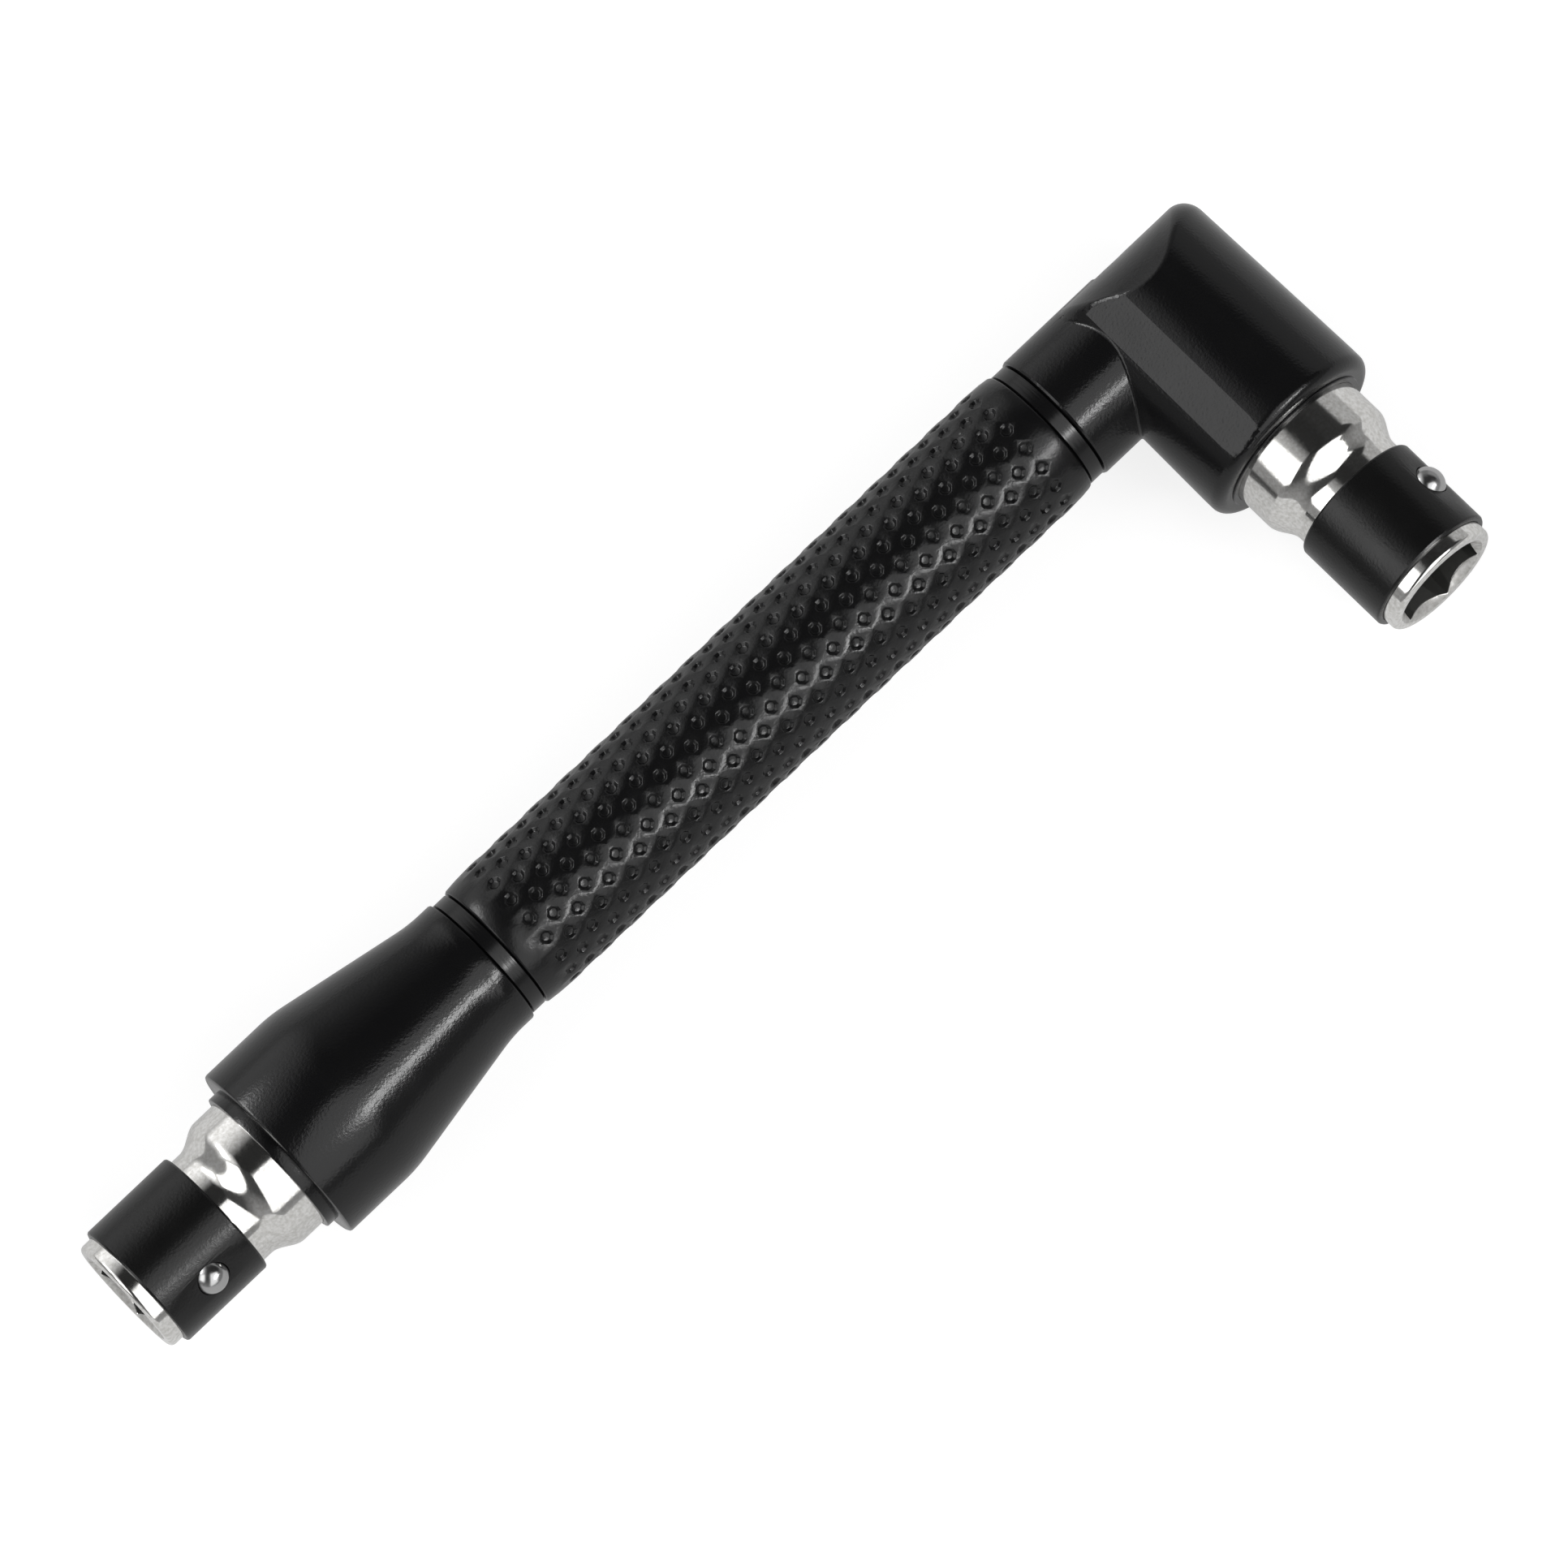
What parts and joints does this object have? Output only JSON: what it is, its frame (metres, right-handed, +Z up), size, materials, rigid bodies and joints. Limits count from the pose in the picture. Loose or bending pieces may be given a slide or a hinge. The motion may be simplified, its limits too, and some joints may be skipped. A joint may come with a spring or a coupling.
{
  "type": "offset screwdriver",
  "caption": "L-shaped offset screwdriver handle with a quarter-inch hex bit socket at each end, a pitted black grip and ball detents under spring sleeves.",
  "frame": {"origin": "centre of the bounding box, on the surface that the tool lies on", "axes": "+X along the handle from the tail socket to the elbow, -Y the way the elbow socket points, +Z up from the surface"},
  "size_m": [0.105, 0.0344, 0.0144],
  "materials": {
    "black_paint": "satin black paint",
    "black_band": "satin black paint",
    "black_grip": "satin black paint over a pitted tube",
    "plain_steel": "turned",
    "bright_chrome": "polished chrome",
    "black_sleeve": "satin black oxide",
    "ball_steel": "polished"
  },
  "bodies": {
    "handle": {"elbow_head": "black_paint", "elbow_band": "black_band", "grip_sleeve": "black_grip", "tail_band": "black_band", "tail_ferrule": "black_paint", "core_rod": "plain_steel", "elbow_socket": "bright_chrome", "elbow_spring_sleeve": "black_sleeve", "tail_socket": "bright_chrome", "tail_spring_sleeve": "black_sleeve"},
    "elbow_ball": {"elbow_ball": "ball_steel"},
    "tail_ball": {"tail_ball": "ball_steel"}
  },
  "joints": [
    {"name": "elbow_detent", "type": "slide", "parent": "handle", "child": "elbow_ball", "axis": [0.8192, 0, 0.5736], "range_m": [0, 0.00057], "stiffness_N_per_m": 8000, "deforming": ["elbow_spring_sleeve"]},
    {"name": "tail_detent", "type": "slide", "parent": "handle", "child": "tail_ball", "axis": [0, -0.8192, 0.5736], "range_m": [0, 0.00057], "stiffness_N_per_m": 8000, "deforming": ["tail_spring_sleeve"]}
  ]
}
